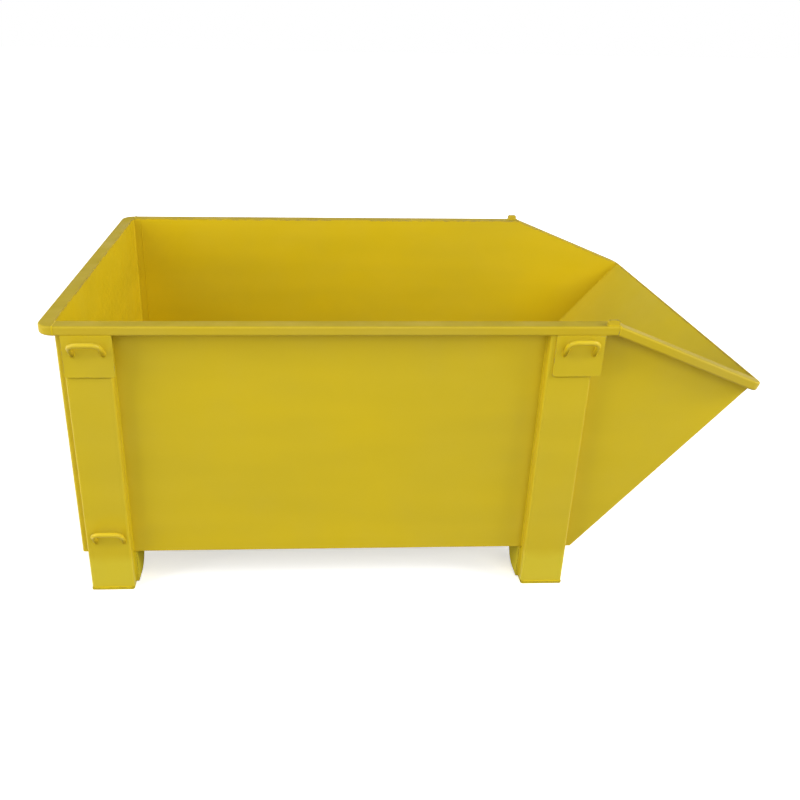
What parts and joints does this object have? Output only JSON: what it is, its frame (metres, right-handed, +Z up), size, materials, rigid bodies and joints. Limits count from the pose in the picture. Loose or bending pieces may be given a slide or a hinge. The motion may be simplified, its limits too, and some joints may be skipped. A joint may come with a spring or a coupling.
{
  "type": "dump container",
  "caption": "Open-topped welded steel dump container with a sloping pouring end, a box rim, corner posts on feet, lifting and tipping eyes; stackable.",
  "frame": {"origin": "on the ground under the middle of the container", "axes": "+X along the length towards the pouring lip, +Y to the far long side, +Z up"},
  "size_m": [2.0482, 1.396, 0.881],
  "materials": {
    "sheet_paint": "yellow gloss paint, lightly worn",
    "profile_paint": "yellow gloss paint, worn along the edges",
    "foot_paint": "yellow gloss paint, scuffed and dusty",
    "eye_paint": "yellow gloss paint on round bar"
  },
  "bodies": {
    "root": {"floor_plate": "sheet_paint", "chute_plate": "sheet_paint", "side_wall_near": "sheet_paint", "side_wall_far": "sheet_paint", "rear_wall": "sheet_paint", "rim_rear": "profile_paint", "rim_near": "profile_paint", "rim_far": "profile_paint", "rim_slope_near": "profile_paint", "rim_slope_far": "profile_paint", "rim_lip": "profile_paint", "stack_lug_near": "profile_paint", "stack_lug_far": "profile_paint", "rear_post_near": "profile_paint", "rear_post_far": "profile_paint", "rear_head_plate_near": "profile_paint", "rear_head_plate_far": "profile_paint", "front_post_near": "profile_paint", "front_post_far": "profile_paint", "front_head_plate_near": "profile_paint", "front_head_plate_far": "profile_paint", "rear_foot_plate_near": "foot_paint", "rear_foot_plate_far": "foot_paint", "rear_foot_gusset_near": "foot_paint", "rear_foot_gusset_far": "foot_paint", "front_foot_plate_near": "foot_paint", "front_foot_plate_far": "foot_paint", "front_foot_gusset_near": "foot_paint", "front_foot_gusset_far": "foot_paint", "floor_rib_1": "foot_paint", "floor_rib_2": "foot_paint", "floor_rib_3": "foot_paint", "rear_crane_eye_near": "eye_paint", "rear_crane_eye_far": "eye_paint", "front_crane_eye_near": "eye_paint", "front_crane_eye_far": "eye_paint", "tipping_eye_near": "eye_paint", "tipping_eye_far": "eye_paint"}
  },
  "joints": []
}
